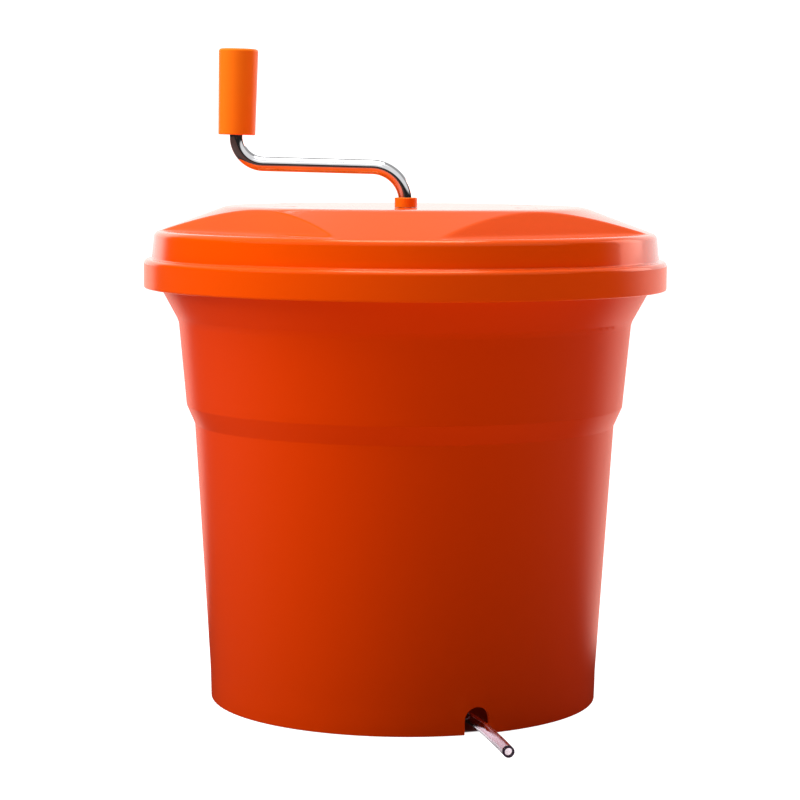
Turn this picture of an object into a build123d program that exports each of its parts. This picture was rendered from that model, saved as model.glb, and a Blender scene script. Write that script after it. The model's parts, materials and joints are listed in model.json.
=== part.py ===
from build123d import *

import os
from math import acos, cos, pi, radians, sin, tan

# Hand-cranked salad spinner of the twenty litre class, in millimetres, +Z up.
# The origin is the centre of the tank's foot ring, on the floor, and the front is -Y.
# Azimuths are counted in degrees from the front, positive towards +X.

# ---- tank ----
WALL = 3.0
FOOT_R = 159.8
BAND_R = 160.4
BAND_Z = 24.0
STEP_LOW_R = 173.0
STEP_LOW_Z = 228.5
STEP_HIGH_R = 179.8
STEP_HIGH_Z = 244.0
FLARE_R = 186.2
FLARE_Z = 313.0
LIP_R = 208.5
LIP_Z = 354.0
RIM_R = 210.4
RIM_Z = 360.0
RIM_BEAD_H = 4.0
FLOOR_Z = 31.0
TANK_BOSS_R = 12.0
TANK_BOSS_LOW_Z = 16.0
TANK_BOSS_HIGH_Z = 46.0
RIB_T = 2.5
RIB_LOW_Z = 17.0
RIB_COUNT = 8

# ---- drain ----
DRAIN_AZIMUTH = 21.2
NOTCH_W = 20.6
NOTCH_H = 21.8
ELBOW_R = 116.0
BARB_Z = 10.0
ELBOW_ARM = 12.0
BARB_LENGTH = 13.0
TUBE_D = 9.0
TUBE_BORE = 6.0
FIT = 0.05

# ---- lid ----
SKIRT_R = 214.4
SKIRT_LOW_Z = 340.0
SHOULDER_Z = 363.6
RING_LOW_R = 207.8
RING_HIGH_R = 206.0
RING_HIGH_Z = 384.8
TOP_R = 146.0
TOP_Z = 407.0
LID_WALL = 3.2
FACET_AZIMUTH = 41.0
FACET_SLOPE = 50.0
FACET_DISTANCE = 167.0
FACET_FLOOR_Z = 386.4
FACET_FILLET = 6.0
FACET_COUNT = 4
GEARBOX_R = 140.0
GEARBOX_LOW_Z = 376.5
SCREW_X = 97.0
SCREW_Y = 58.0

# ---- gears ----
MODULE = 2.0
PRESSURE = radians(20)
GEAR_TEETH = 42
PINION_TEETH = 14
CRANK_Y = -MODULE * (GEAR_TEETH + PINION_TEETH) / 2
GEAR_LOW_Z = 385.0
GEAR_HIGH_Z = 393.0
BACKLASH = 0.12

# ---- crank ----
ROD_R = 5.8
COLLAR_R = 9.0
COLLAR_HIGH_Z = 414.9
ARM_Z = 438.6
ARM_RISE = 1.2
GRIP_X = -135.6
HUB_BEND_R = 27.5
GRIP_BEND_R = 21.5
GRIP_LOW = 22.5
GRIP_LENGTH = 68.0
GRIP_LOW_R = 14.75
GRIP_HIGH_R = 15.75

# ---- driver and basket ----
DRIVER_R = 158.0
DRIVER_Z = 350.0
LUG_COUNT = 6
LUG_W = 13.0
BASKET_LOW_Z = 47.5
BASKET_LOW_R = 146.0
BASKET_HIGH_Z = 342.0
BASKET_HIGH_R = 163.0
BASKET_WALL = 2.5
PIN_R = 5.0
PIN_HIGH_Z = 68.0


def outward(azimuth):
    """The level unit vector at an azimuth."""
    return Vector(sin(radians(azimuth)), -cos(radians(azimuth)), 0)


def radial_plane(azimuth):
    """The upright plane through the axis: local x runs outward and local y runs up."""
    out = outward(azimuth)
    return Plane(origin=(0, 0, 0), x_dir=out, z_dir=out.cross(Vector(0, 0, 1)))


def facing_plane(azimuth, radius, height=0):
    """The upright plane square to an azimuth: local x runs sideways and local y runs up."""
    origin = outward(azimuth) * radius + Vector(0, 0, height)
    return Plane(origin=origin, x_dir=outward(azimuth + 90), z_dir=outward(azimuth))


def corner(profile, r, z):
    """The corner of a profile that is nearest to radius r and height z."""
    return profile.vertices().sort_by_distance((r, z))[0]


def save(builder, name):
    """Labels a finished piece and writes it."""
    builder.part.label = name
    export_step(builder.part, f"parts/{name}.step")


def ring(inner_r, outer_r, low_z, high_z, center=(0, 0)):
    """Adds a plain ring, or a disc where inner_r is 0, to the part that is open."""
    with BuildSketch(Plane((center[0], center[1], low_z))) as flat:
        Circle(outer_r)
        if inner_r > 0:
            Circle(inner_r, mode=Mode.SUBTRACT)
    extrude(flat.sketch, amount=high_z - low_z)


def cut_hole(radius, low_z, high_z, center=(0, 0)):
    """Cuts an upright round hole in the part that is open."""
    with BuildSketch(Plane((center[0], center[1], low_z))) as flat:
        Circle(radius)
    extrude(flat.sketch, amount=high_z - low_z, mode=Mode.SUBTRACT)


# ---- tank: a stepped, flared tub on a hollow foot ring ----
with BuildPart() as tank:
    with BuildSketch(Plane.XZ) as outside:
        with BuildLine():
            Polyline(
                (0, 0),
                (FOOT_R, 0),
                (BAND_R, BAND_Z),
                (STEP_LOW_R, STEP_LOW_Z),
                (STEP_HIGH_R, STEP_HIGH_Z),
                (FLARE_R, FLARE_Z),
                (LIP_R, LIP_Z),
                (LIP_R, RIM_Z - RIM_BEAD_H),
                (RIM_R, RIM_Z - RIM_BEAD_H),
                (RIM_R, RIM_Z),
                (0, RIM_Z),
                close=True,
            )
        make_face()
        fillet(corner(outside, FOOT_R, 0), 0.8)
        fillet(corner(outside, BAND_R, BAND_Z), 40)
        fillet(corner(outside, STEP_LOW_R, STEP_LOW_Z), 2.5)
        fillet(corner(outside, STEP_HIGH_R, STEP_HIGH_Z), 4)
        fillet(corner(outside, FLARE_R, FLARE_Z), 14)
        fillet(corner(outside, RIM_R, RIM_Z), 1)
    revolve(axis=Axis.Z)
    with BuildSketch(Plane.XZ) as inside:
        with BuildLine():
            Polyline(
                (0, FLOOR_Z),
                (BAND_R - WALL + 0.4, FLOOR_Z),
                (STEP_LOW_R - WALL, STEP_LOW_Z + 1.2),
                (STEP_HIGH_R - WALL, STEP_HIGH_Z + 1.2),
                (FLARE_R - WALL, FLARE_Z + 1.5),
                (LIP_R - WALL, LIP_Z + 1.5),
                (LIP_R - WALL, RIM_Z + 1),
                (0, RIM_Z + 1),
                close=True,
            )
        make_face()
        fillet(corner(inside, BAND_R, FLOOR_Z), 6)
        fillet(corner(inside, STEP_LOW_R, STEP_LOW_Z), 4)
        fillet(corner(inside, FLARE_R, FLARE_Z), 12)
    revolve(axis=Axis.Z, mode=Mode.SUBTRACT)
    with BuildSketch(Plane.XY):
        Circle(FOOT_R - WALL)
    extrude(amount=FLOOR_Z - WALL, mode=Mode.SUBTRACT)
    # stiffening ribs under the floor, clear of the drain, and the boss for the pivot pin
    for k in range(RIB_COUNT):
        azimuth = DRAIN_AZIMUTH + (k + 0.5) * 360 / RIB_COUNT
        with BuildSketch(facing_plane(azimuth, TANK_BOSS_R - 2, RIB_LOW_Z)):
            Rectangle(RIB_T, FLOOR_Z - RIB_LOW_Z - 1, align=(Align.CENTER, Align.MIN))
        extrude(amount=FOOT_R - 1 - TANK_BOSS_R)
    ring(0, TANK_BOSS_R, TANK_BOSS_LOW_Z, TANK_BOSS_HIGH_Z)
    cut_hole(PIN_R + FIT / 5, TANK_BOSS_LOW_Z + 4, TANK_BOSS_HIGH_Z + 1)
    drain_center = (outward(DRAIN_AZIMUTH).X * ELBOW_R, outward(DRAIN_AZIMUTH).Y * ELBOW_R)
    cut_hole(7.2, FLOOR_Z - WALL - 1, FLOOR_Z + 1, drain_center)
    with BuildSketch(facing_plane(DRAIN_AZIMUTH, FOOT_R - 8)):
        Rectangle(NOTCH_W, NOTCH_H - NOTCH_W / 2, align=(Align.CENTER, Align.MIN))
        with Locations((0, NOTCH_H - NOTCH_W / 2)):
            Circle(NOTCH_W / 2)
    extrude(amount=16, mode=Mode.SUBTRACT)
save(tank, "tank")

with BuildPart() as basket_pivot_pin:
    ring(0, PIN_R, TANK_BOSS_LOW_Z + 4, PIN_HIGH_Z)
    fillet(basket_pivot_pin.faces().sort_by(Axis.Z)[-1].edges(), 3.5)
save(basket_pivot_pin, "basket_pivot_pin")

# ---- drain: elbow under the floor, gasket, nut on the floor, tube ----
GASKET_LOW_Z = FLOOR_Z - WALL - 1.8
with BuildPart() as drain_elbow:
    ring(0, 12, GASKET_LOW_Z - 2.4, GASKET_LOW_Z, drain_center)
    ring(0, 7.0, BARB_Z - 5.5, FLOOR_Z + 5, drain_center)
    with BuildSketch(facing_plane(DRAIN_AZIMUTH, ELBOW_R, BARB_Z)):
        Circle(5.5)
    extrude(amount=ELBOW_ARM)
    with BuildSketch(facing_plane(DRAIN_AZIMUTH, ELBOW_R + ELBOW_ARM, BARB_Z)):
        Circle(TUBE_BORE / 2 - 0.25)
    extrude(amount=BARB_LENGTH)
    # two saw-tooth barbs that hold the tube
    for step in (4.0, 8.5):
        with BuildSketch(facing_plane(DRAIN_AZIMUTH, ELBOW_R + ELBOW_ARM + step, BARB_Z)):
            Circle(TUBE_BORE / 2 - FIT)
        extrude(amount=2.5, taper=6)
    cut_hole(5.0, BARB_Z, FLOOR_Z + 6, drain_center)
    with BuildSketch(facing_plane(DRAIN_AZIMUTH, ELBOW_R, BARB_Z)):
        Circle(1.8)
    extrude(amount=ELBOW_ARM + BARB_LENGTH + 1, mode=Mode.SUBTRACT)
save(drain_elbow, "drain_elbow")

with BuildPart() as drain_gasket:
    ring(7.3, 12, GASKET_LOW_Z, FLOOR_Z - WALL, drain_center)
save(drain_gasket, "drain_gasket")

with BuildPart() as drain_nut:
    with BuildSketch(Plane((*drain_center, FLOOR_Z))):
        RegularPolygon(12.5, 6)
        Circle(7.0 + FIT, mode=Mode.SUBTRACT)
    extrude(amount=4)
    # slots under the nut's face let the last water through
    for turn in (0, 60, 120):
        with BuildSketch(Plane((*drain_center, FLOOR_Z)).rotated((0, 0, turn))):
            Rectangle(30, 3)
        extrude(amount=1.2, mode=Mode.SUBTRACT)
save(drain_nut, "drain_nut")

# The tube leaves the elbow level, drops to the floor in the notch and lies on it.
# Each point is distance outward, distance sideways and height of the tube's centre.
TUBE_ROUTE = [
    (128.0, 0.0, 10.0),
    (148.0, 0.0, 10.0),
    (169.0, 1.2, 8.0),
    (191.0, 0.4, 5.2),
    (214.5, -2.4, 4.5),
    (236.9, -6.8, 4.5),
]
tube_points = [
    outward(DRAIN_AZIMUTH) * out + outward(DRAIN_AZIMUTH + 90) * side + Vector(0, 0, z)
    for out, side, z in TUBE_ROUTE
]
tube_radii = []
for before, here, after in zip(tube_points, tube_points[1:], tube_points[2:]):
    arriving = here - before
    leaving = after - here
    half_turn = radians(arriving.get_angle(leaving)) / 2
    tube_radii.append(0.45 * min(arriving.length, leaving.length) / tan(half_turn))
print("tube radii", [round(r) for r in tube_radii])
with BuildPart() as drain_tube:
    with BuildLine():
        tube_path = FilletPolyline(*tube_points, radius=tube_radii)
    with BuildSketch(facing_plane(DRAIN_AZIMUTH, TUBE_ROUTE[0][0], BARB_Z)):
        Circle(TUBE_D / 2)
        Circle(TUBE_BORE / 2, mode=Mode.SUBTRACT)
    sweep(path=tube_path)
tube_section = pi * (TUBE_D**2 - TUBE_BORE**2) / 4
print("tube length", round(tube_path.length, 2))
print("tube volume ratio", round(drain_tube.part.volume / tube_section / tube_path.length, 4))
save(drain_tube, "drain_tube")

# ---- lid: skirt, upright ring, and a shallow cone cut by four flat facets ----
ring_inner_r = RING_HIGH_R - LID_WALL
facet_run = 1 / tan(radians(FACET_SLOPE))
facet_shift = LID_WALL / sin(radians(FACET_SLOPE)) - LID_WALL * facet_run


def cut_facets(distance, floor_z, fillet_r):
    """Cuts the four flat facets and their level floors, from the fold lines outward."""
    for k in range(FACET_COUNT):
        rise = 30.0
        reach = SKIRT_R + 5
        with BuildSketch(radial_plane(FACET_AZIMUTH + k * 360 / FACET_COUNT)) as wedge:
            with BuildLine():
                Polyline(
                    (distance, floor_z),
                    (distance - rise * facet_run, floor_z + rise),
                    (reach, floor_z + rise),
                    (reach, floor_z),
                    close=True,
                )
            make_face()
            if fillet_r > 0:
                fillet(corner(wedge, distance, floor_z), fillet_r)
        extrude(wedge.sketch, amount=120, both=True, mode=Mode.SUBTRACT)


with BuildPart() as lid_cavity:
    with BuildSketch(Plane.XZ):
        with BuildLine():
            Polyline(
                (0, SKIRT_LOW_Z - 1),
                (SKIRT_R - LID_WALL, SKIRT_LOW_Z - 1),
                (SKIRT_R - LID_WALL, RIM_Z),
                (RING_LOW_R - LID_WALL, RIM_Z),
                (ring_inner_r, RING_HIGH_Z - LID_WALL + 1),
                (TOP_R - 0.6, TOP_Z - LID_WALL),
                (0, TOP_Z - LID_WALL),
                close=True,
            )
        make_face()
    revolve(axis=Axis.Z)
    cut_facets(FACET_DISTANCE - facet_shift, FACET_FLOOR_Z - LID_WALL, 0)

with BuildPart() as lid_shell:
    with BuildSketch(Plane.XZ) as lid_outside:
        with BuildLine():
            Polyline(
                (0, SKIRT_LOW_Z),
                (SKIRT_R, SKIRT_LOW_Z),
                (SKIRT_R, SHOULDER_Z),
                (RING_LOW_R, SHOULDER_Z),
                (RING_HIGH_R, RING_HIGH_Z),
                (TOP_R, TOP_Z),
                (0, TOP_Z),
                close=True,
            )
        make_face()
        fillet(corner(lid_outside, SKIRT_R, SKIRT_LOW_Z), 1.5)
        fillet(corner(lid_outside, SKIRT_R, SHOULDER_Z), 3.5)
        fillet(corner(lid_outside, RING_LOW_R, SHOULDER_Z), 1.5)
        fillet(corner(lid_outside, RING_HIGH_R, RING_HIGH_Z), 5)
        fillet(corner(lid_outside, TOP_R, TOP_Z), 18)
    revolve(axis=Axis.Z)
    cut_facets(FACET_DISTANCE, FACET_FLOOR_Z, FACET_FILLET)
    add(lid_cavity.part, mode=Mode.SUBTRACT)
    # the gearbox wall, the two shaft bosses and the four screw bosses under the top
    ring(GEARBOX_R - 3, GEARBOX_R, GEARBOX_LOW_Z, TOP_Z - LID_WALL + 0.5)
    ring(0, 14, 394, TOP_Z - LID_WALL + 0.5, (0, CRANK_Y))
    ring(0, 13, 394.5, TOP_Z - LID_WALL + 0.5)
    for x in (-SCREW_X, SCREW_X):
        for y in (-SCREW_Y, SCREW_Y):
            ring(0, 8.5, 390, TOP_Z - LID_WALL + 0.5, (x, y))
            cut_hole(2.2, 389, TOP_Z + 1, (x, y))
            cut_hole(4.8, 398, TOP_Z + 1, (x, y))
            cut_hole(8.0, TOP_Z - 1.8, TOP_Z + 1, (x, y))
    cut_hole(9.0 + FIT, 393, TOP_Z + 1, (0, CRANK_Y))
    cut_hole(9.0 + FIT, 394, 402, (0, 0))
save(lid_shell, "lid_shell")

with BuildPart() as screw_caps:
    for x in (-SCREW_X, SCREW_X):
        for y in (-SCREW_Y, SCREW_Y):
            ring(0, 7.8, TOP_Z - 1.8, TOP_Z, (x, y))
    fillet(screw_caps.faces().filter_by(Axis.Z).group_by(Axis.Z)[-1].edges(), 0.6)
save(screw_caps, "screw_caps")

# ---- gear carrier: the plate that closes the gearbox, with its seal and screws ----
with BuildPart() as gear_carrier:
    ring(0, GEARBOX_R, 371, 374.5)
    for x in (-SCREW_X, SCREW_X):
        for y in (-SCREW_Y, SCREW_Y):
            ring(0, 7, 374.5, 390, (x, y))
            cut_hole(2.05, 377, 391, (x, y))
    ring(0, 12, 366, 371, (0, CRANK_Y))
    ring(0, 13, 366, 371)
    # a rib ring under the plate
    ring(GEARBOX_R - 12, GEARBOX_R - 9, 367, 371)
    cut_hole(9.0 + FIT, 365, 375, (0, CRANK_Y))
    cut_hole(9.0 + FIT, 365, 375)
save(gear_carrier, "gear_carrier")

with BuildPart() as carrier_seal:
    ring(GEARBOX_R - 3, GEARBOX_R, 374.5, GEARBOX_LOW_Z)
save(carrier_seal, "carrier_seal")

with BuildPart() as carrier_screws:
    for x in (-SCREW_X, SCREW_X):
        for y in (-SCREW_Y, SCREW_Y):
            ring(0, 4.4, 398, 401.6, (x, y))
            ring(0, 2.0, 379, 398, (x, y))
            with BuildSketch(Plane((x, y, 401.6))):
                RegularPolygon(2.0, 6)
            extrude(amount=-2.0, mode=Mode.SUBTRACT)
save(carrier_screws, "carrier_screws")


def flanged_bush(bore_r, low_z, high_z, flange_z, center):
    """Adds a bush with its flange starting at flange_z to the part that is open."""
    ring(bore_r + FIT, 9.0, low_z, high_z, center)
    ring(bore_r + FIT, 11.0, flange_z, flange_z + 1.3, center)


DRIVER_SHAFT_R = 6.0
with BuildPart() as crank_bush_upper:
    ring(ROD_R + FIT, 9.0, 394, TOP_Z, (0, CRANK_Y))
    ring(ROD_R + FIT, 12.0, 393.2, 394, (0, CRANK_Y))
save(crank_bush_upper, "crank_bush_upper")

with BuildPart() as crank_bush_lower:
    flanged_bush(ROD_R, 366, 374.5, 374.5, (0, CRANK_Y))
save(crank_bush_lower, "crank_bush_lower")

with BuildPart() as driver_bush_upper:
    ring(DRIVER_SHAFT_R + FIT, 9.0, 394.5, 402, (0, 0))
save(driver_bush_upper, "driver_bush_upper")

with BuildPart() as driver_bush_lower:
    flanged_bush(DRIVER_SHAFT_R, 366, 374.5, 374.5, (0, 0))
save(driver_bush_lower, "driver_bush_lower")


# ---- gears ----
def gear_tooth(teeth, tip_r, root_r):
    """One involute tooth that points along +X, thinned by the backlash."""
    pitch_r = MODULE * teeth / 2
    base_r = pitch_r * cos(PRESSURE)
    half_at_base = pi / (2 * teeth) + tan(PRESSURE) - PRESSURE - BACKLASH / 2 / pitch_r
    start_r = max(base_r, root_r)
    flank = []
    for k in range(6):
        r = start_r + (tip_r - start_r) * k / 5
        roll = acos(min(1.0, base_r / r))
        angle = half_at_base - (tan(roll) - roll)
        flank.append((r * cos(angle), r * sin(angle)))
    inner = (root_r - 1) / start_r
    foot = (flank[0][0] * inner, flank[0][1] * inner)
    with BuildSketch() as tooth:
        with BuildLine():
            Line(foot, flank[0])
            Spline(*flank)
            ThreePointArc(flank[-1], (tip_r, 0), (flank[-1][0], -flank[-1][1]))
            Spline(*[(x, -y) for x, y in reversed(flank)])
            Line((flank[0][0], -flank[0][1]), (foot[0], -foot[1]))
            Line((foot[0], -foot[1]), foot)
        make_face()
    return tooth.sketch


GEAR_TIP_R = MODULE * GEAR_TEETH / 2 + 1.7
GEAR_ROOT_R = MODULE * GEAR_TEETH / 2 - 2.5
PINION_TIP_R = MODULE * PINION_TEETH / 2 + 2.0
PINION_ROOT_R = MODULE * PINION_TEETH / 2 - 2.4
gear_tooth_face = gear_tooth(GEAR_TEETH, GEAR_TIP_R, GEAR_ROOT_R)
pinion_tooth_face = gear_tooth(PINION_TEETH, PINION_TIP_R, PINION_ROOT_R)
PIN_Z = 381.0

with BuildPart() as drive_gear:
    with BuildSketch(Plane((0, CRANK_Y, GEAR_LOW_Z))):
        Circle(GEAR_ROOT_R)
        with PolarLocations(0, GEAR_TEETH, start_angle=90):
            add(gear_tooth_face)
        with PolarLocations(25, 6):
            Circle(7, mode=Mode.SUBTRACT)
    extrude(amount=GEAR_HIGH_Z - GEAR_LOW_Z)
    ring(0, 12, 376.3, GEAR_LOW_Z, (0, CRANK_Y))
    cut_hole(ROD_R + FIT / 2, 375, GEAR_HIGH_Z + 1, (0, CRANK_Y))
    with BuildSketch(Plane.YZ.offset(-15)):
        with Locations((CRANK_Y, PIN_Z)):
            Circle(2.0 + FIT)
    extrude(amount=30, mode=Mode.SUBTRACT)
save(drive_gear, "drive_gear")

with BuildPart() as gear_pin:
    with BuildSketch(Plane.YZ.offset(-11.5)):
        with Locations((CRANK_Y, PIN_Z)):
            Circle(2.0)
    extrude(amount=23)
save(gear_pin, "gear_pin")

with BuildPart() as driver_pinion:
    with BuildSketch(Plane.XY.offset(GEAR_LOW_Z - 1)):
        Circle(PINION_ROOT_R)
        with PolarLocations(0, PINION_TEETH, start_angle=-90 + 180 / PINION_TEETH):
            add(pinion_tooth_face)
    extrude(amount=GEAR_HIGH_Z - GEAR_LOW_Z + 2)
    ring(0, DRIVER_SHAFT_R, 362, 401.5)
    ring(0, 8.5, 376.3, GEAR_LOW_Z - 1)
    with BuildSketch(Plane.XY.offset(346)):
        RegularPolygon(5.2, 6)
    extrude(amount=16)
    cut_hole(2.05, 345, 360)
save(driver_pinion, "driver_pinion")

# ---- crank: one bent round bar, its collar and what holds it in the lid ----
rise = radians(ARM_RISE)
elbow = Vector(GRIP_X, CRANK_Y, ARM_Z - GRIP_X * tan(rise))
leg_direction = Vector(sin(rise), 0, cos(rise))
ROD_LOW_Z = 362.0
GROOVE_Z = 363.6
LEG_LENGTH = GRIP_LOW + GRIP_LENGTH - 9
with BuildPart() as crank_rod:
    with BuildLine():
        rod_path = FilletPolyline(
            (0, CRANK_Y, ROD_LOW_Z),
            (0, CRANK_Y, ARM_Z),
            elbow,
            elbow + leg_direction * LEG_LENGTH,
            radius=[HUB_BEND_R, GRIP_BEND_R],
        )
    with BuildSketch(Plane((0, CRANK_Y, ROD_LOW_Z))):
        Circle(ROD_R)
    sweep(path=rod_path)
    with BuildSketch(Plane((0, CRANK_Y, GROOVE_Z))):
        Circle(ROD_R + 1)
        Circle(ROD_R - 0.9, mode=Mode.SUBTRACT)
    extrude(amount=1.2, mode=Mode.SUBTRACT)
    with BuildSketch(Plane.YZ.offset(-10)):
        with Locations((CRANK_Y, PIN_Z)):
            Circle(2.0 + FIT)
    extrude(amount=20, mode=Mode.SUBTRACT)
save(crank_rod, "crank_rod")

with BuildPart() as crank_collar:
    ring(0, COLLAR_R, TOP_Z + 0.3, COLLAR_HIGH_Z, (0, CRANK_Y))
    fillet(crank_collar.edges().filter_by(GeomType.CIRCLE).group_by(Axis.Z)[-1], 0.8)
    add(crank_rod.part, mode=Mode.SUBTRACT)
save(crank_collar, "crank_collar")

with BuildPart() as crank_washer:
    ring(ROD_R + FIT, 10, GROOVE_Z + 1.25, 365.9, (0, CRANK_Y))
save(crank_washer, "crank_washer")

with BuildPart() as crank_circlip:
    with BuildSketch(Plane((0, CRANK_Y, GROOVE_Z + 0.05))):
        Circle(8.2)
        Circle(ROD_R - 0.85, mode=Mode.SUBTRACT)
        with Locations((0, -8)):
            Rectangle(6, 10, mode=Mode.SUBTRACT)
    extrude(amount=1.1)
save(crank_circlip, "crank_circlip")

# ---- grip: a tapered sleeve that turns on the upright leg ----
leg_plane = Plane(origin=elbow, x_dir=(cos(rise), 0, -sin(rise)), z_dir=leg_direction)
leg_section = Plane(origin=elbow, x_dir=(cos(rise), 0, -sin(rise)), z_dir=(0, -1, 0))
leg_axis = Axis(origin=elbow, direction=leg_direction)
grip_top = GRIP_LOW + GRIP_LENGTH
with BuildPart() as crank_grip:
    with BuildSketch(leg_section) as grip_profile:
        with BuildLine():
            Polyline(
                (0, GRIP_LOW),
                (GRIP_LOW_R, GRIP_LOW),
                (GRIP_HIGH_R, grip_top),
                (0, grip_top),
                close=True,
            )
        make_face()
        fillet(corner(grip_profile, GRIP_LOW_R, GRIP_LOW), 1.0)
        fillet(corner(grip_profile, GRIP_HIGH_R, grip_top), 2.2)
    revolve(axis=leg_axis)
    with BuildSketch(leg_plane):
        Circle(ROD_R + FIT)
    extrude(amount=grip_top + 1, mode=Mode.SUBTRACT)
    with BuildSketch(leg_plane.offset(grip_top - 13)):
        Circle(10)
    extrude(amount=20, mode=Mode.SUBTRACT)
save(crank_grip, "crank_grip")

with BuildPart() as grip_cap:
    with BuildSketch(leg_plane.offset(grip_top - 3)):
        Circle(10 - FIT)
    extrude(amount=3)
    fillet(grip_cap.edges().sort_by(Axis.Z)[-1], 0.5)
save(grip_cap, "grip_cap")

with BuildPart() as grip_retainer:
    with BuildSketch(leg_plane.offset(LEG_LENGTH - 3)):
        Circle(9)
        Circle(ROD_R + FIT / 5, mode=Mode.SUBTRACT)
    extrude(amount=1.2)
save(grip_retainer, "grip_retainer")

# ---- driver: the disc under the lid whose lugs turn the basket ----
with BuildPart() as driver_disc:
    ring(0, DRIVER_R, DRIVER_Z, DRIVER_Z + 3)
    ring(0, 17, 345, 362)
    ring(DRIVER_R - 4, DRIVER_R, DRIVER_Z, DRIVER_Z + 7)
    with PolarLocations(0, LUG_COUNT):
        with Locations((DRIVER_R / 2, 0, DRIVER_Z + 4.5)):
            Box(DRIVER_R - 6, 3, 4)
        with Locations(((DRIVER_R - 8 + BASKET_HIGH_R + 4.5) / 2, 0, (334 + DRIVER_Z + 3) / 2)):
            Box(BASKET_HIGH_R + 4.5 - DRIVER_R + 8, LUG_W, DRIVER_Z + 3 - 334)
    with PolarLocations(95, LUG_COUNT, start_angle=30):
        Cylinder(26, 40, mode=Mode.SUBTRACT, align=(Align.CENTER, Align.CENTER, Align.CENTER))
    with BuildSketch(Plane.XY.offset(344)):
        RegularPolygon(5.3, 6)
    extrude(amount=20, mode=Mode.SUBTRACT)
save(driver_disc, "driver_disc")

with BuildPart() as driver_washer:
    ring(2.2, 9, 343.8, 345)
save(driver_washer, "driver_washer")

with BuildPart() as driver_screw:
    ring(0, 4.2, 340.4, 343.8)
    ring(0, 2.0, 343.8, 358)
    with BuildSketch(Plane.XY.offset(340.4)):
        RegularPolygon(2.0, 6)
    extrude(amount=2, mode=Mode.SUBTRACT)
save(driver_screw, "driver_screw")

# ---- basket: a slotted tub that turns on the pivot pin ----
SLOT_ROWS = 4
SLOT_COLUMNS = 48
SLOT_L = 54.0
SLOT_W = 3.4
SLOT_PITCH = 64.0
with BuildPart() as wall_slot:
    with BuildSketch(Plane.YZ):
        SlotOverall(SLOT_L, SLOT_W, rotation=90)
    extrude(amount=15, both=True)
with BuildPart() as floor_slot:
    with BuildSketch(Plane.XY):
        SlotOverall(26, SLOT_W)
    extrude(amount=6, both=True)

with BuildPart() as basket:
    with BuildSketch(Plane.XZ) as basket_outside:
        with BuildLine():
            Polyline(
                (0, BASKET_LOW_Z),
                (BASKET_LOW_R, BASKET_LOW_Z),
                (BASKET_HIGH_R, BASKET_HIGH_Z - 3),
                (BASKET_HIGH_R + 6, BASKET_HIGH_Z - 3),
                (BASKET_HIGH_R + 6, BASKET_HIGH_Z),
                (0, BASKET_HIGH_Z),
                close=True,
            )
        make_face()
        fillet(corner(basket_outside, BASKET_LOW_R, BASKET_LOW_Z), 10)
        fillet(corner(basket_outside, BASKET_HIGH_R + 6, BASKET_HIGH_Z), 1.2)
    revolve(axis=Axis.Z)
    with BuildSketch(Plane.XZ) as basket_inside:
        with BuildLine():
            Polyline(
                (0, BASKET_LOW_Z + 30),
                (11, BASKET_LOW_Z + 28),
                (30, BASKET_LOW_Z + 3),
                (BASKET_LOW_R - BASKET_WALL, BASKET_LOW_Z + 3),
                (BASKET_HIGH_R - BASKET_WALL, BASKET_HIGH_Z + 1),
                (0, BASKET_HIGH_Z + 1),
                close=True,
            )
        make_face()
        fillet(corner(basket_inside, BASKET_LOW_R, BASKET_LOW_Z), 8)
    revolve(axis=Axis.Z, mode=Mode.SUBTRACT)
    cut_hole(9.0 + FIT, BASKET_LOW_Z - 1, 72)
    for row in range(SLOT_ROWS):
        with Locations((0, 0, 98 + row * SLOT_PITCH)):
            with PolarLocations(155, SLOT_COLUMNS):
                add(wall_slot.part, mode=Mode.SUBTRACT)
    for radius, count in ((55, 18), (88, 30), (121, 42)):
        with Locations((0, 0, BASKET_LOW_Z + 1.5)):
            with PolarLocations(radius, count):
                add(floor_slot.part, mode=Mode.SUBTRACT)
    with PolarLocations(BASKET_HIGH_R, LUG_COUNT):
        with Locations((0, 0, BASKET_HIGH_Z - 4)):
            Box(20, LUG_W + 1.2, 12, mode=Mode.SUBTRACT)
save(basket, "basket")

with BuildPart() as basket_bush:
    ring(0, 9.0, BASKET_LOW_Z, 71.8)
    cut_hole(PIN_R + FIT, BASKET_LOW_Z - 1, PIN_HIGH_Z + 0.3)
save(basket_bush, "basket_bush")
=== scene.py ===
import json
import math

import bpy
import numpy as np
from mathutils import Matrix, Vector


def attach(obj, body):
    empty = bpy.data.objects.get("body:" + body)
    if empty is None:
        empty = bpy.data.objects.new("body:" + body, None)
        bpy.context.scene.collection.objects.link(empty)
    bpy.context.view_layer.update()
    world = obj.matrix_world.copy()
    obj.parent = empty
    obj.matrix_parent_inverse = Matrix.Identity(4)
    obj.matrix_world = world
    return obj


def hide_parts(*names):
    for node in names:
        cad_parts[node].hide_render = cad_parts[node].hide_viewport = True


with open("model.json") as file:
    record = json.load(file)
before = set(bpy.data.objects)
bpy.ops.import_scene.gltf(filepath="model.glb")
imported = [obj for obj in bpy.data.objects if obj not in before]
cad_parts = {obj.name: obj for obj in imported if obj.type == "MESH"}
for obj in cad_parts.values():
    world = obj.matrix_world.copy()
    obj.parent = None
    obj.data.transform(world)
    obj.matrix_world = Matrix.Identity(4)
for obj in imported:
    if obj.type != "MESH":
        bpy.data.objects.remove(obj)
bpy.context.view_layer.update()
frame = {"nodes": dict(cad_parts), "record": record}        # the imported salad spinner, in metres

# A hand-cranked salad spinner: looks, lights and camera around the fixed frame.
# Lengths are metres; a name that ends in _MM holds millimetres.
MM = 0.001

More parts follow.
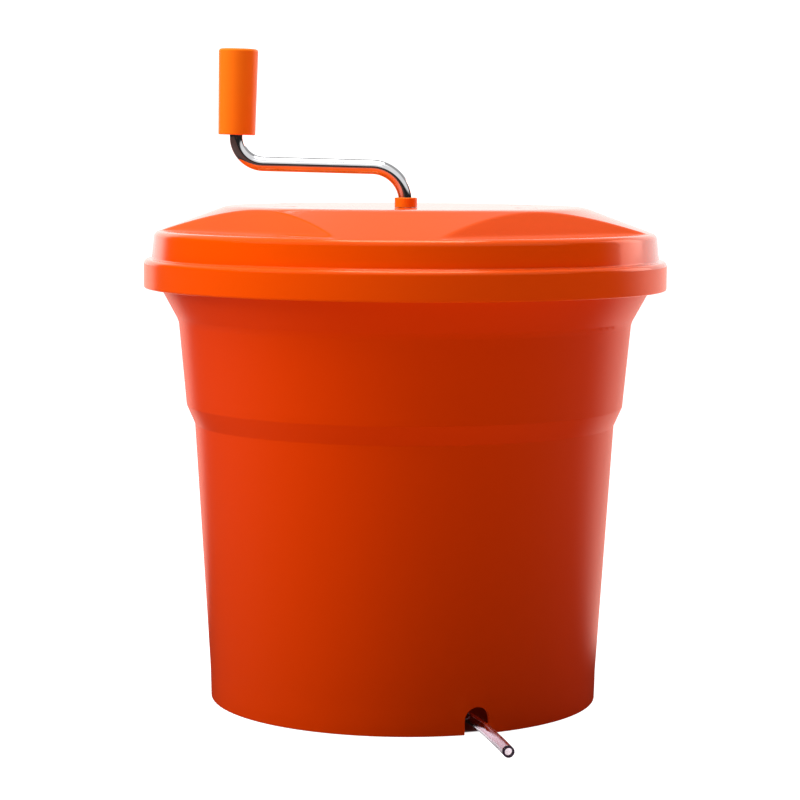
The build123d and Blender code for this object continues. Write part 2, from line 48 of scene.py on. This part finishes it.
# ---- camera: level with the lid, a little left of the axis ----
LENS_MM = 111.6
SENSOR_MM = 36.0
CAMERA_AT = (-0.0037, -2.045, 0.449)
CAMERA_PITCH = math.radians(5.65)
CAMERA_ROLL = math.radians(0.35)


def make_camera():
    """The camera that looks along +Y, tipped down and rolled a little."""
    data = bpy.data.cameras.new("camera")
    data.lens = LENS_MM
    data.sensor_width = SENSOR_MM
    data.clip_start = 0.05
    data.clip_end = 100
    camera = bpy.data.objects.new("camera", data)
    bpy.context.scene.collection.objects.link(camera)
    turn = Matrix.Rotation(math.pi / 2 - CAMERA_PITCH, 4, "X")
    camera.matrix_world = Matrix.Translation(CAMERA_AT) @ turn @ Matrix.Rotation(CAMERA_ROLL, 4, "Z")
    bpy.context.scene.camera = camera


make_camera()


def outward(azimuth):
    """The level unit vector at an azimuth in degrees, from the front towards +X."""
    return Vector((math.sin(math.radians(azimuth)), -math.cos(math.radians(azimuth)), 0))


def mesh_piece(name, vertices, faces, material, body):
    """A smooth-shaded mesh piece that rides on a body."""
    mesh = bpy.data.meshes.new(name)
    mesh.from_pydata([tuple(v) for v in vertices], [], faces)
    mesh.validate()
    mesh.polygons.foreach_set("use_smooth", [True] * len(mesh.polygons))
    mesh.update()
    piece = bpy.data.objects.new(name, mesh)
    bpy.context.scene.collection.objects.link(piece)
    mesh.materials.append(material)
    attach(piece, body)
    return piece


# ---- materials ----
class Nodes:
    """Short ways to add and join the nodes of one material."""

    def __init__(self, name):
        self.material = bpy.data.materials.new(name)
        self.material.use_nodes = True
        self.tree = self.material.node_tree
        self.shader = self.tree.nodes["Principled BSDF"]
        self.place = self.add("ShaderNodeTexCoord").outputs["Object"]

    def add(self, kind, **values):
        node = self.tree.nodes.new(kind)
        for key, value in values.items():
            setattr(node, key, value)
        return node

    def join(self, out, into):
        self.tree.links.new(out, into)

    def noise(self, scale, detail=2.0, roughness=0.5, stretch=(1, 1, 1)):
        """Noise over the piece, finer along the axes with a larger stretch."""
        mapping = self.add("ShaderNodeMapping")
        mapping.inputs["Scale"].default_value = stretch
        self.join(self.place, mapping.inputs["Vector"])
        node = self.add("ShaderNodeTexNoise")
        node.inputs["Scale"].default_value = scale
        node.inputs["Detail"].default_value = detail
        node.inputs["Roughness"].default_value = roughness
        self.join(mapping.outputs["Vector"], node.inputs["Vector"])
        return node.outputs["Fac"]

    def span(self, value, low, high, to_low, to_high):
        """Maps a value's range onto another, smoothly."""
        node = self.add("ShaderNodeMapRange", interpolation_type="SMOOTHSTEP")
        for key, number in (("From Min", low), ("From Max", high), ("To Min", to_low), ("To Max", to_high)):
            node.inputs[key].default_value = number
        self.join(value, node.inputs["Value"])
        return node.outputs["Result"]

    def math(self, operation, a, b=None):
        node = self.add("ShaderNodeMath", operation=operation)
        for socket, value in zip(node.inputs, (a, b)):
            if isinstance(value, (int, float)):
                socket.default_value = value
            elif value is not None:
                self.join(value, socket)
        return node.outputs["Value"]

    def mix(self, amount, a, b):
        """Mixes two colours, each a socket or three numbers."""
        node = self.add("ShaderNodeMix", data_type="RGBA")
        self.join(amount, node.inputs[0])
        for socket, value in ((node.inputs[6], a), (node.inputs[7], b)):
            if isinstance(value, tuple):
                socket.default_value = (*value, 1)
            else:
                self.join(value, socket)
        return node.outputs[2]

    def bump(self, height, strength, distance, below=None):
        node = self.add("ShaderNodeBump")
        node.inputs["Strength"].default_value = strength
        node.inputs["Distance"].default_value = distance
        self.join(height, node.inputs["Height"])
        if below is not None:
            self.join(below, node.inputs["Normal"])
        return node.outputs["Normal"]

    def height(self):
        """How high a point is, in metres."""
        split = self.add("ShaderNodeSeparateXYZ")
        self.join(self.place, split.inputs["Vector"])
        return split.outputs["Z"]


ROUGHNESS_SWING = 0.005
BASE_SHADE = 0.97               # how much of its colour a plastic keeps at the base under its painted shade


def moulded_plastic(name, color, deep, roughness, peel=0.10, coat=0.0, gloss=0.4, tint=(1, 1, 1),
                    painted_shade_top=None):
    """Injection-moulded plastic: faint flow colour, cloudy gloss and a soft skin texture.

    deep is the colour of the flow marks. Below the given shade height the colour is darkened towards the
    base: painted shade for the dimmer light low down, not a change in the plastic.
    """
    n = Nodes(name)
    flow = n.noise(5.0, 3, 0.55, (1, 1, 0.35))
    tone = n.mix(n.span(flow, 0.3, 0.7, 0, 1), deep, color)
    haze = n.noise(14, 4, 0.6)
    rough = n.span(haze, 0.3, 0.7, roughness - ROUGHNESS_SWING, roughness + ROUGHNESS_SWING)
    # painted shade: the colour darkens towards the base, where the light is dimmer
    if painted_shade_top is not None:
        base = tuple(BASE_SHADE * c for c in color)
        tone = n.mix(n.span(n.height(), 0, painted_shade_top, 1, 0), tone, base)
    n.join(tone, n.shader.inputs["Base Color"])
    n.join(rough, n.shader.inputs["Roughness"])
    skin = n.bump(n.noise(1400, 2, 0.5), peel, 0.00004)
    n.join(n.bump(n.noise(38, 2, 0.5), peel * 0.06, 0.0004, skin), n.shader.inputs["Normal"])
    n.shader.inputs["IOR"].default_value = 1.5
    n.shader.inputs["Specular IOR Level"].default_value = gloss
    n.shader.inputs["Specular Tint"].default_value = (*tint, 1)
    n.shader.inputs["Coat Weight"].default_value = coat
    n.shader.inputs["Coat Roughness"].default_value = 0.08
    return n.material


def chrome(name):
    """Bright plating with faint cloudiness and hairline marks along the bar."""
    n = Nodes(name)
    cloud = n.noise(60, 4, 0.6)
    hair = n.noise(1500, 1, 0.4, (0.03, 1, 0.03))
    n.join(n.mix(n.span(cloud, 0.35, 0.65, 0, 1), (0.62, 0.62, 0.64), (0.70, 0.70, 0.71)),
           n.shader.inputs["Base Color"])
    n.join(n.math("ADD", n.span(cloud, 0.3, 0.7, 0.05, 0.09), n.span(hair, 0.6, 0.75, 0, 0.06)),
           n.shader.inputs["Roughness"])
    n.join(n.bump(n.noise(300, 2, 0.5), 0.05, 0.00002), n.shader.inputs["Normal"])
    n.shader.inputs["Metallic"].default_value = 1.0
    return n.material


def turned_steel(name):
    """Turned stainless steel with fine tool rings."""
    n = Nodes(name)
    rings = n.noise(2600, 1, 0.5, (0.15, 0.15, 1))
    n.join(n.mix(rings, (0.48, 0.48, 0.49), (0.64, 0.64, 0.65)), n.shader.inputs["Base Color"])
    n.join(n.span(rings, 0.3, 0.7, 0.22, 0.38), n.shader.inputs["Roughness"])
    n.join(n.bump(rings, 0.15, 0.00003), n.shader.inputs["Normal"])
    n.shader.inputs["Metallic"].default_value = 1.0
    return n.material


def rubber(name):
    """Matt black rubber with bloom and dust."""
    n = Nodes(name)
    dust = n.span(n.noise(220, 5, 0.7), 0.5, 0.7, 0, 1)
    n.join(n.mix(dust, (0.012, 0.012, 0.013), (0.045, 0.044, 0.042)), n.shader.inputs["Base Color"])
    n.join(n.span(dust, 0, 1, 0.7, 0.9), n.shader.inputs["Roughness"])
    n.join(n.bump(n.noise(1200, 3, 0.6), 0.2, 0.00005), n.shader.inputs["Normal"])
    return n.material


def clear_hose(name, tint, alpha):
    """Clear soft hose: glassy, tinted, a little cloudy."""
    n = Nodes(name)
    cloud = n.noise(90, 4, 0.6)
    pale = tuple(min(1.0, c * 1.04) for c in tint)
    n.join(n.mix(n.span(cloud, 0.3, 0.7, 0, 1), tint, pale), n.shader.inputs["Base Color"])
    n.join(n.span(cloud, 0.3, 0.7, 0.04, 0.12), n.shader.inputs["Roughness"])
    n.join(n.bump(n.noise(150, 2, 0.5), 0.05, 0.0001), n.shader.inputs["Normal"])
    n.shader.inputs["IOR"].default_value = 1.5
    n.shader.inputs["Transmission Weight"].default_value = alpha
    return n.material


SHEEN_TINT = (1.0, 0.30, 0.02)
MATERIALS = {
    # the tank's colour has painted shade, darker towards its base up to 0.22 m
    "tank_plastic": moulded_plastic(
        "tank_plastic", (0.80, 0.051, 0.0), (0.785, 0.049, 0.0), 0.26,
        peel=0.05, gloss=0.45, tint=SHEEN_TINT, painted_shade_top=0.22),
    "lid_plastic": moulded_plastic(
        "lid_plastic", (0.90, 0.088, 0.0), (0.87, 0.083, 0.0), 0.16,
        peel=0.04, coat=0.2, gloss=0.5, tint=SHEEN_TINT),
    "grip_plastic": moulded_plastic(
        "grip_plastic", (1.0, 0.22, 0.010), (0.98, 0.20, 0.009), 0.34, peel=0.08, tint=SHEEN_TINT),
    "chromed_steel": chrome("chromed_steel"),
    "basket_plastic": moulded_plastic(
        "basket_plastic", (0.78, 0.77, 0.72), (0.74, 0.73, 0.67), 0.42, peel=0.15),
    "carrier_plastic": moulded_plastic(
        "carrier_plastic", (0.55, 0.04, 0.003), (0.50, 0.035, 0.003), 0.45, peel=0.15),
    "gear_plastic": moulded_plastic(
        "gear_plastic", (0.72, 0.70, 0.60), (0.66, 0.64, 0.53), 0.45, peel=0.12),
    "bush_plastic": moulded_plastic(
        "bush_plastic", (0.03, 0.03, 0.033), (0.02, 0.02, 0.022), 0.40, peel=0.12),
    "stainless_steel": turned_steel("stainless_steel"),
    "fitting_plastic": moulded_plastic(
        "fitting_plastic", (0.045, 0.045, 0.048), (0.03, 0.03, 0.032), 0.45, peel=0.12),
    "seal_rubber": rubber("seal_rubber"),
    "clear_pvc": clear_hose("clear_pvc", (1.0, 0.86, 0.93), 1.0),
}
for part in frame["record"]["subparts"]:
    node = frame["nodes"][part["node"]]
    node.data.materials.clear()
    node.data.materials.append(MATERIALS[part["material_slot"]])


# ---- drain tube: a cord from the elbow's barb, through the notch, to its cut end ----
DRAIN_AZIMUTH = 21.2
TUBE_D = 9.0 * MM
TUBE_BORE = 6.0 * MM
TUBE_ROUTE_MM = [
    (128.0, 0.0, 10.0),
    (148.0, 0.0, 10.0),
    (169.0, 1.2, 8.0),
    (191.0, 0.4, 5.2),
    (214.5, -2.4, 4.5),
    (236.88, -6.8, 4.5),
]


def smooth_line(points):
    """Points along the smooth spline that has these control points."""
    curve = bpy.data.curves.new("route", "CURVE")
    curve.dimensions = "3D"
    curve.resolution_u = 12
    spline = curve.splines.new("NURBS")
    spline.points.add(len(points) - 1)
    for point, place in zip(spline.points, points):
        point.co = (*place, 1)
    spline.order_u = 3
    spline.use_endpoint_u = True
    holder = bpy.data.objects.new("route", curve)
    bpy.context.scene.collection.objects.link(holder)
    mesh = bpy.data.meshes.new_from_object(holder)
    line = [v.co.copy() for v in mesh.vertices]
    bpy.data.objects.remove(holder)
    return line


def tube_rings(line, radius, sides):
    """Rings of points round a line, each square to it."""
    rings = []
    for i, here in enumerate(line):
        ahead = (line[min(i + 1, len(line) - 1)] - line[max(i - 1, 0)]).normalized()
        side = ahead.cross(Vector((0, 0, 1))).normalized()
        up = side.cross(ahead)
        ring = [here + (side * math.cos(t) + up * math.sin(t)) * radius
                for t in np.linspace(0, 2 * math.pi, sides, endpoint=False)]
        rings.append(ring)
    return rings


def make_drain_tube():
    """The hose as one closed tube wall with a square-cut end."""
    route = [
        (outward(DRAIN_AZIMUTH) * out + outward(DRAIN_AZIMUTH + 90) * side + Vector((0, 0, z))) * MM
        for out, side, z in TUBE_ROUTE_MM
    ]
    line = smooth_line(route)
    sides = 48
    outer = tube_rings(line, TUBE_D / 2, sides)
    inner = tube_rings(line, TUBE_BORE / 2, sides)
    loop = outer + inner[::-1]
    vertices = [v for ring in loop for v in ring]
    faces = []
    for i in range(len(loop)):
        j = (i + 1) % len(loop)
        for k in range(sides):
            m = (k + 1) % sides
            faces.append((i * sides + k, j * sides + k, j * sides + m, i * sides + m))
    tube = mesh_piece("drain_hose", vertices, faces, MATERIALS["clear_pvc"], "tank")
    tube.data.materials.append(clear_hose("hose_cut", (0.10, 0.06, 0.12), 0.25))
    rows = len(outer)
    for polygon in tube.data.polygons:
        row = polygon.index // sides
        if row in (rows - 1, 2 * rows - 1):
            polygon.material_index = 1
            polygon.use_smooth = False
    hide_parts("drain_tube")


make_drain_tube()


# ---- lid shell: the CAD shell's shape with its folds and arches softly rounded ----
SKIRT_R = 214.4
SKIRT_LOW_Z = 340.0
SKIRT_WALL = 3.2
SHOULDER_Z = 363.6
RIM_Z = 360.0
RING_LOW_R = 207.8
RING_HIGH_R = 206.0
RING_HIGH_Z = 384.8
TOP_R = 146.0
TOP_Z = 407.0
CONE_SLOPE = (TOP_Z - RING_HIGH_Z) / (RING_HIGH_R - TOP_R)
FACET_AZIMUTH = 41.0
FACET_SLOPE = math.tan(math.radians(50))
FACET_DISTANCE = 167.0
FACET_FLOOR_Z = 386.4
FACET_FOLD = 2.9
FACET_ARCH = 0.8
TOP_EDGE = 2.0
GEARBOX_R = 140.0
GEARBOX_LOW_Z = 376.5
CRANK_Y = -56.0
CRANK_HOLE_R = 9.05
CAP_X = 97.0
CAP_Y = 58.0
CAP_R = 8.0
CAP_DEPTH = 1.8
FACET_COUNT = 4
LID_SIDES = 720


def soft_min(a, b, width):
    """The lower of two heights, rounded where they are within width of each other."""
    blend = np.maximum(width - np.abs(a - b), 0) / width
    return np.minimum(a, b) - blend * blend * width / 4


def soft_max(a, b, width):
    return -soft_min(-a, -b, width)


def lid_height(r, azimuths, sink=0.0):
    """The height of the lid's top at a radius, or of its underside with sink as the wall."""
    cone = TOP_Z + (TOP_R - r) * CONE_SLOPE - sink * math.hypot(1, CONE_SLOPE) + 0 * azimuths
    height = soft_min(cone, np.full_like(cone, TOP_Z - sink), TOP_EDGE)
    facet = np.full_like(cone, 1e3)
    for k in range(FACET_COUNT):
        turn = azimuths - math.radians(FACET_AZIMUTH + 360 / FACET_COUNT * k)
        lean = (math.hypot(1, FACET_SLOPE) - 1) / FACET_SLOPE
        floor = np.full_like(cone, FACET_FLOOR_Z - sink)
        plane = floor + (FACET_DISTANCE - sink * lean - r * np.cos(turn)) * FACET_SLOPE
        facet = np.minimum(facet, soft_max(plane, floor, FACET_FOLD))
    return soft_min(height, facet, FACET_ARCH)


def rounded(corners, steps=7):
    """A profile through (r, z, fillet radius) corners, with an arc at each rounded one."""
    line = [np.array(corners[0][:2], float)]
    for before, here, after in zip(corners, corners[1:], corners[2:]):
        a, p, b = (np.array(c[:2], float) for c in (before, here, after))
        to_a, to_b = a - p, b - p
        to_a, to_b = to_a / np.hypot(*to_a), to_b / np.hypot(*to_b)
        half = math.acos(np.clip(to_a @ to_b, -1, 1)) / 2
        if here[2] <= 0:
            line.append(p)
            continue
        reach = here[2] / math.tan(half)
        middle = p + (to_a + to_b) / np.hypot(*(to_a + to_b)) * here[2] / math.sin(half)
        start, end = p + to_a * reach, p + to_b * reach
        first = math.atan2(*(start - middle)[::-1])
        sweep = (math.atan2(*(end - middle)[::-1]) - first + math.pi) % (2 * math.pi) - math.pi
        line.append(start + to_a * min(0.4, here[2] / 3))
        for t in np.linspace(0, 1, steps):
            angle = first + sweep * t
            line.append(middle + here[2] * np.array([math.cos(angle), math.sin(angle)]))
        line.append(end + to_b * min(0.4, here[2] / 3))
    line.append(np.array(corners[-1][:2], float))
    return line


def make_lid():
    """The lid's shell as one closed mesh, with the crank's hole and the cap recesses cut in."""
    azimuths = np.linspace(0, 2 * math.pi, LID_SIDES, endpoint=False)
    across, along = np.sin(azimuths), -np.cos(azimuths)
    wall = SKIRT_WALL
    rings = []

    def ring(r, z):
        rings.append(np.stack([r * across, r * along, z + 0 * azimuths], 1))

    for r in [4, 30, 60, 85, 100, 110, 118, 124, 129, 133, *np.arange(136, 202.2, 0.7)]:
        ring(r, lid_height(r, azimuths))
    edge = [
        (201, RING_HIGH_Z + (RING_HIGH_R - 201) * CONE_SLOPE, 0),
        (RING_HIGH_R, RING_HIGH_Z, 5),
        (RING_LOW_R, SHOULDER_Z, 1.5),
        (SKIRT_R, SHOULDER_Z, 3.5),
        (SKIRT_R, SKIRT_LOW_Z, 1.5),
        (SKIRT_R - wall, SKIRT_LOW_Z, 1.0),
        (SKIRT_R - wall, RIM_Z, 0.8),
        (RING_LOW_R - wall, RIM_Z, 0.6),
        (RING_HIGH_R - wall, RING_HIGH_Z - wall + 1, 2.0),
        (199, RING_HIGH_Z - wall + 1 + (RING_HIGH_R - wall - 199) * CONE_SLOPE, 0),
    ]
    for r, z in rounded(edge)[1:]:
        ring(r, z)
    for r in np.arange(198, GEARBOX_R, -1.0):
        ring(r, lid_height(r, azimuths, wall))
    box_top = lid_height(GEARBOX_R, azimuths, wall)
    ring(GEARBOX_R, box_top)
    for r, z in ((GEARBOX_R, GEARBOX_LOW_Z), (GEARBOX_R - 3, GEARBOX_LOW_Z), (GEARBOX_R - 3, TOP_Z - wall)):
        ring(r, z)
    ring(4, TOP_Z - wall)
    vertices = np.concatenate(rings) * MM
    faces = []
    for i in range(len(rings) - 1):
        a, b = i * LID_SIDES, (i + 1) * LID_SIDES
        for k in range(LID_SIDES):
            m = (k + 1) % LID_SIDES
            faces.append((a + k, b + k, b + m, a + m))
    faces.append(tuple(range(LID_SIDES)))
    last = (len(rings) - 1) * LID_SIDES
    faces.append(tuple(range(last + LID_SIDES - 1, last - 1, -1)))
    lid = mesh_piece("lid", vertices, faces, MATERIALS["lid_plastic"], "lid")
    above = TOP_Z + 5
    cutters = [(0, CRANK_Y, CRANK_HOLE_R, SKIRT_LOW_Z, above)]
    cutters += [(x, y, CAP_R, TOP_Z - CAP_DEPTH, above) for x in (-CAP_X, CAP_X) for y in (-CAP_Y, CAP_Y)]
    cut_round_holes(lid, cutters)
    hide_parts("lid_shell")


def cut_round_holes(piece, holes):
    """Cuts upright round holes, each given as x, y, radius, low and high z in millimetres."""
    vertices, faces = [], []
    sides = 64
    for x, y, radius, low, high in holes:
        base = len(vertices)
        for z in (low, high):
            for t in np.linspace(0, 2 * math.pi, sides, endpoint=False):
                vertices.append(((x + radius * math.cos(t)) * MM, (y + radius * math.sin(t)) * MM, z * MM))
        for k in range(sides):
            m = (k + 1) % sides
            faces.append((base + k, base + m, base + sides + m, base + sides + k))
        faces.append(tuple(base + k for k in reversed(range(sides))))
        faces.append(tuple(base + sides + k for k in range(sides)))
    mesh = bpy.data.meshes.new("cutter")
    mesh.from_pydata(vertices, [], faces)
    cutter = bpy.data.objects.new("cutter", mesh)
    bpy.context.scene.collection.objects.link(cutter)
    modifier = piece.modifiers.new("holes", "BOOLEAN")
    modifier.operation = "DIFFERENCE"
    modifier.solver = "EXACT"
    modifier.object = cutter
    bpy.context.view_layer.update()
    cut = bpy.data.meshes.new_from_object(piece.evaluated_get(bpy.context.evaluated_depsgraph_get()))
    piece.modifiers.clear()
    piece.data = cut
    bpy.data.objects.remove(cutter)


make_lid()


# ---- floor, lights and surroundings ----
# How bright each part of the studio is: radiance for the floor and surroundings, watts for the lamps.
# The floor and surroundings treat each kind of ray apart. They are white to the camera and through
# the clear hose, dimmer as light on the object, and in reflections the floor shows only a bright
# zone behind the object. The upper front shows only in reflections.
FLOOR_NEAR = 0.22
FLOOR_FAR = 1.0
FLOOR_SEEN = 1.1
FLOOR_UNDER = 0.16
FLOOR_MIRRORED = 0.1            # the share of the floor's glow that a reflection shows
BACK = 1.28
BACK_HIGH = 0.45
OVERHEAD = 0.45
FRONT = 0.02
FRONT_HIGH = 1.0
BACKDROP_SEEN = 1.05
FLOOR_HALF = 12
FLOOR_Z = -0.0004               # just below the foot ring
BARE = (0.146, 0.151)           # distances from the axis over which the white floor starts
OUTSIDE = (0.150, 0.175)        # over which the glow under the tank gives way to the near glow
NEAR_TO_FAR = (0.6, 0.9)        # over which the near glow gives way to the far glow
ZONE_START = (0.20, 0.35)       # over which the mirrored bright zone starts
ZONE_LEFT = (-0.80, -0.60)      # turns from +Y, in radians, over which that zone begins
ZONE_RIGHT = (0.85, 1.40)       # and over which it ends
LAMPS = {
    "left": ((-2.0, -0.5, 1.4), (1.0, 1.2), 28),
    "left_front": ((-1.6, -1.5, 1.2), (1.0, 1.0), 3),
    "high_left": ((-1.0, -0.4, 2.0), (0.9, 0.9), 13),
    "top": ((0.0, 0.0, 2.3), (1.2, 1.2), 31),
    "front_top": ((-0.2, -1.6, 1.9), (1.2, 0.8), 2),
    "right_back": ((1.7, 0.9, 0.9), (0.8, 1.0), 7),
}
LAMP_AIM = (0, 0, 0.3)
UNREFLECTED = ("left", "left_front", "high_left")
WARM = (1, 0.52, 0.45)          # the tint of the floor's light and of WARM_LAMPS
WARM_LAMPS = ("right_back",)


def make_floor():
    """A wide floor, white to the camera, that lights the object by how far it is from the axis."""
    mesh = bpy.data.meshes.new("floor")
    corners = [(x * FLOOR_HALF, y * FLOOR_HALF, FLOOR_Z) for x, y in ((-1, -1), (1, -1), (1, 1), (-1, 1))]
    mesh.from_pydata(corners, [], [(0, 1, 2, 3)])
    floor = bpy.data.objects.new("floor", mesh)
    bpy.context.scene.collection.objects.link(floor)
    n = Nodes("floor")
    n.shader.inputs["Roughness"].default_value = 0.9
    n.shader.inputs["Specular IOR Level"].default_value = 0.0
    length = n.add("ShaderNodeVectorMath", operation="LENGTH")
    n.join(n.place, length.inputs[0])
    away = length.outputs["Value"]
    path = n.add("ShaderNodeLightPath")
    mirrored = path.outputs["Is Glossy Ray"]
    watched = n.math("MAXIMUM", path.outputs["Is Camera Ray"], path.outputs["Is Transmission Ray"])

    outside = n.span(away, *OUTSIDE, 0, 1)
    near = n.math("MULTIPLY", outside, n.span(away, *NEAR_TO_FAR, FLOOR_NEAR, 0))
    far = n.span(away, *NEAR_TO_FAR, 0, FLOOR_FAR)
    under = n.math("MULTIPLY", n.math("SUBTRACT", 1.0, outside), n.math("SUBTRACT", 1.0, watched))
    lit = n.math("ADD", n.math("ADD", near, far), n.math("MULTIPLY", under, FLOOR_UNDER))
    lit = n.math("MULTIPLY", lit, n.span(mirrored, 0, 1, 1, FLOOR_MIRRORED))

    split = n.add("ShaderNodeSeparateXYZ")
    n.join(n.place, split.inputs["Vector"])
    turn = n.math("ARCTAN2", split.outputs["X"], split.outputs["Y"])
    zone = n.math("MULTIPLY", n.span(turn, *ZONE_LEFT, 0, 1), n.span(turn, *ZONE_RIGHT, 1, 0))
    zone = n.math("MULTIPLY", zone, n.span(away, *ZONE_START, 0, BACK))
    lit = n.math("ADD", lit, n.math("MULTIPLY", mirrored, zone))

    seen = n.math("MULTIPLY", n.math("MULTIPLY", watched, FLOOR_SEEN), n.span(away, *BARE, 0, 1))
    n.join(n.math("MAXIMUM", lit, seen), n.shader.inputs["Emission Strength"])
    n.join(n.mix(watched, WARM, (1, 1, 1)), n.shader.inputs["Emission Color"])
    paper = n.mix(n.noise(3, 3, 0.5), (0.26, 0.26, 0.26), (0.30, 0.30, 0.30))
    n.join(n.mix(mirrored, paper, (0.02, 0.02, 0.02)), n.shader.inputs["Base Color"])
    mesh.materials.append(n.material)


def make_world():
    """Surroundings: bright behind and to the right, softer higher up, bright up front in reflections."""
    world = bpy.data.worlds.new("studio")
    bpy.context.scene.world = world
    world.use_nodes = True
    tree = world.node_tree
    background = tree.nodes["Background"]
    background.inputs["Color"].default_value = (1, 1, 1, 1)

    def math_node(operation, a, b=0.0):
        node = tree.nodes.new("ShaderNodeMath")
        node.operation = operation
        for socket, value in zip(node.inputs, (a, b)):
            if isinstance(value, (int, float)):
                socket.default_value = value
            else:
                tree.links.new(value, socket)
        return node.outputs[0]

    def fade(value, low, high, to_low, to_high):
        """Fades over a range of degrees."""
        node = tree.nodes.new("ShaderNodeMapRange")
        node.interpolation_type = "SMOOTHSTEP"
        for key, number in (("From Min", math.radians(low)), ("From Max", math.radians(high)),
                            ("To Min", to_low), ("To Max", to_high)):
            node.inputs[key].default_value = number
        tree.links.new(value, node.inputs["Value"])
        return node.outputs["Result"]

    place = tree.nodes.new("ShaderNodeTexCoord")
    split = tree.nodes.new("ShaderNodeSeparateXYZ")
    tree.links.new(place.outputs["Generated"], split.inputs["Vector"])
    x, y, z = (split.outputs[k] for k in "XYZ")
    turn = math_node("ARCTAN2", x, y)
    rise = math_node("ARCSINE", z)
    behind = math_node("MULTIPLY", fade(turn, -46, -34, 0, 1), fade(turn, 48, 85, 1, 0))
    back_half = math_node("MULTIPLY", fade(turn, -110, -95, 0, 1), fade(turn, 95, 110, 1, 0))
    path = tree.nodes.new("ShaderNodeLightPath")
    low = math_node("MULTIPLY", behind, fade(rise, 18, 32, 1, 0))
    middle = math_node("MULTIPLY", fade(rise, 18, 32, 0, 1), fade(rise, 55, 65, 1, 0))
    high = math_node("MULTIPLY", back_half, middle)
    front_high = math_node("MULTIPLY", math_node("SUBTRACT", 1.0, back_half), fade(rise, 8, 16, 0, 1))
    front_high = math_node("MULTIPLY", front_high, path.outputs["Is Glossy Ray"])
    parts = [
        math_node("MULTIPLY", low, BACK),
        math_node("MULTIPLY", high, BACK_HIGH),
        math_node("MULTIPLY", fade(rise, 55, 65, 0, 1), OVERHEAD),
        math_node("MULTIPLY", math_node("SUBTRACT", 1.0, behind), FRONT),
        math_node("MULTIPLY", front_high, FRONT_HIGH),
    ]
    glow = parts[0]
    for part in parts[1:]:
        glow = math_node("ADD", glow, part)
    seen = math_node("MAXIMUM", path.outputs["Is Camera Ray"], path.outputs["Is Transmission Ray"])
    white = math_node("MULTIPLY", seen, BACKDROP_SEEN)
    tree.links.new(math_node("MAXIMUM", glow, white), background.inputs["Strength"])


def make_lamps():
    """Soft boxes aimed at the middle of the tank."""
    for name, (at, size, watts) in LAMPS.items():
        data = bpy.data.lights.new(name, "AREA")
        data.shape = "RECTANGLE"
        data.size, data.size_y = size
        data.energy = watts
        data.color = WARM if name in WARM_LAMPS else (1, 1, 1)
        lamp = bpy.data.objects.new(name, data)
        bpy.context.scene.collection.objects.link(lamp)
        aim = (Vector(LAMP_AIM) - Vector(at)).to_track_quat("-Z", "Y").to_matrix().to_4x4()
        lamp.matrix_world = Matrix.Translation(at) @ aim
        lamp.visible_glossy = name not in UNREFLECTED


make_floor()
make_world()
make_lamps()
bpy.context.scene.view_settings.view_transform = "Standard"
